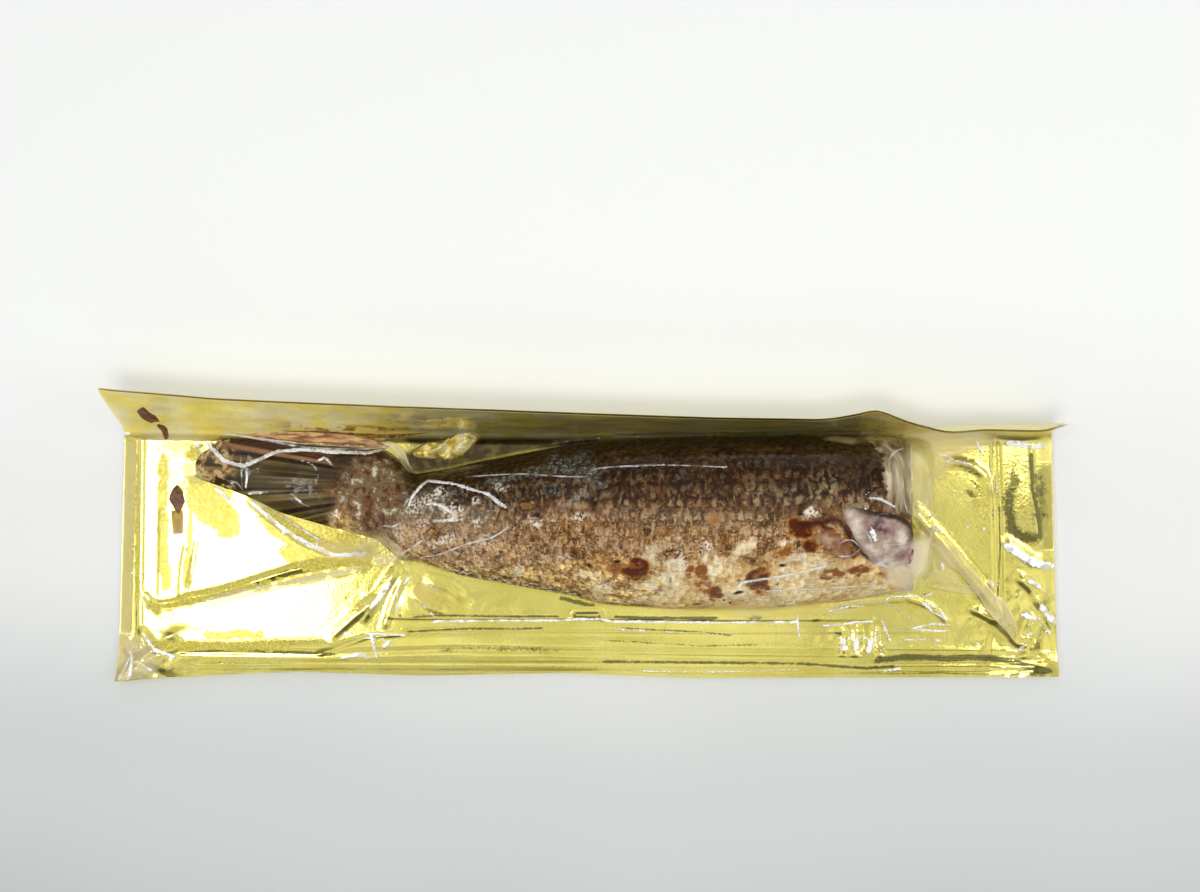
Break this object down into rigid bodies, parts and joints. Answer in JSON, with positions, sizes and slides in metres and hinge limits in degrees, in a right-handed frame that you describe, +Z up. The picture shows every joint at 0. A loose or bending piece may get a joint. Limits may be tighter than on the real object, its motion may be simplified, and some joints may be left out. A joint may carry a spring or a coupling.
{
  "type": "vacuum packed salted grey mullet",
  "caption": "Whole salted grey mullet without its head, lying on its side and vacuum sealed between a gold foil back with one long edge turned up and a clear film front.",
  "frame": {"origin": "middle of the pack's outline, on the surface that its foil back lies on", "axes": "+X from the fish's tail to its cut end, +Y toward the fish's back and the pack's turned-up edge, +Z up"},
  "size_m": [0.3932, 0.1192, 0.045],
  "materials": {
    "gold_foil": "gold metallised film, mirror-like and creased",
    "fish_under_film": "clear glossy film drawn tight over dark fish skin"
  },
  "bodies": {
    "root": {"foil_backing": "gold_foil", "sealed_bag": "fish_under_film"}
  },
  "joints": []
}
